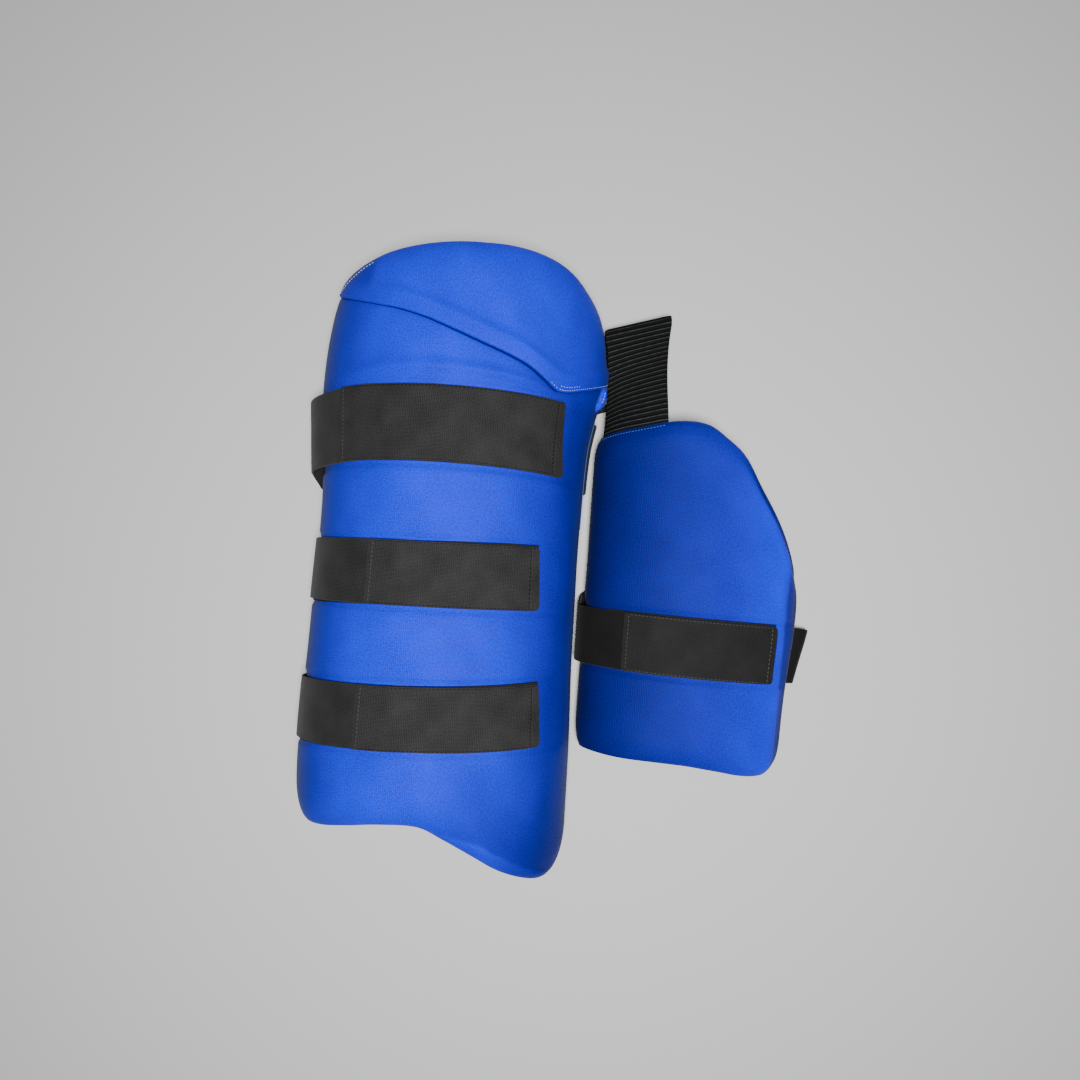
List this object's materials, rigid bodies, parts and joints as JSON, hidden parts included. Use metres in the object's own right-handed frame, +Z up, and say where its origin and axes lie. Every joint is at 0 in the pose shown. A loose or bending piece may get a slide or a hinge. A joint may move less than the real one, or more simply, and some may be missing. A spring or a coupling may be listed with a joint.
{
  "type": "cricket thigh guard",
  "caption": "Padded outer thigh pad and smaller inner thigh pad, both hollow below, joined by ribbed elastic and crossed by flat straps.",
  "frame": {"origin": "on the surface that it lies on, below the middle of the whole guard", "axes": "+Y along the outer pad towards its rounded top, +X towards the inner pad, +Z up from the surface"},
  "size_m": [0.3896, 0.4384, 0.1029],
  "materials": {
    "cover": "smooth stretch knit over foam, royal blue",
    "webbing": "flat woven elastic, charcoal",
    "patch_cloth": "looped fastening cloth, black",
    "ribbed_elastic": "ribbed elastic, black with light cords"
  },
  "bodies": {
    "root": {"outer_pad": "cover", "outer_hood": "cover", "inner_pad": "cover", "waist_strap": "webbing", "waist_strap_tab": "webbing", "thigh_strap_upper": "webbing", "thigh_strap_upper_tab": "webbing", "thigh_strap_lower": "webbing", "thigh_strap_lower_tab": "webbing", "inner_strap": "webbing", "inner_strap_tab": "webbing", "thigh_patch_upper": "patch_cloth", "thigh_patch_lower": "patch_cloth", "inner_patch": "patch_cloth", "link_elastic": "ribbed_elastic"}
  },
  "joints": []
}
